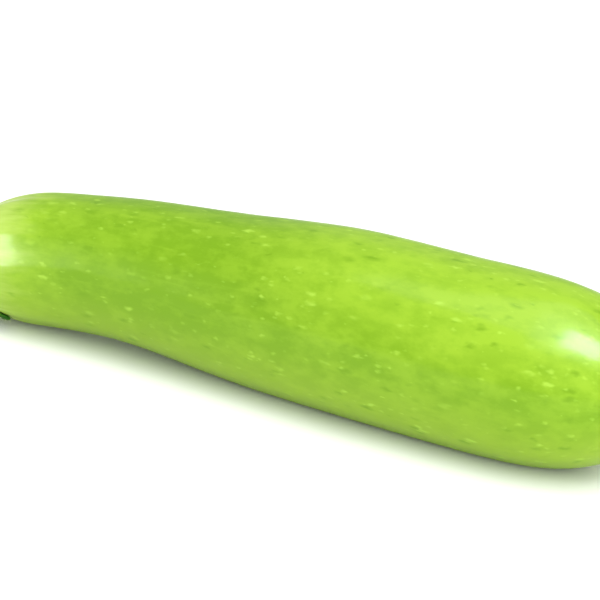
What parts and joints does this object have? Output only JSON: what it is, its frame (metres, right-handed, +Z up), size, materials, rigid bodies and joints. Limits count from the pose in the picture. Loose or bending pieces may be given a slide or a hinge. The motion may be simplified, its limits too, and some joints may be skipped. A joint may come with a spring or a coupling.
{
  "type": "zucchini",
  "caption": "Pale green zucchini lying on its side: a long, slightly bent fruit, thicker at the blossom end, with a ribbed dark green stem stub.",
  "frame": {"origin": "middle of the bounding box in plan, on the surface that the fruit rests on", "axes": "+X along the fruit from its stem end to its blossom end, +Z up from the surface it rests on"},
  "size_m": [0.2018, 0.0462, 0.0428],
  "materials": {
    "skin": "waxy, softly glossy, with small pale flecks",
    "stem": "fibrous, ribbed and finely bristled",
    "cut_face": "moist cut plant tissue",
    "blossom_scar": "dry and corky"
  },
  "bodies": {
    "root": {"fruit": "skin", "stem": "stem"}
  },
  "joints": []
}
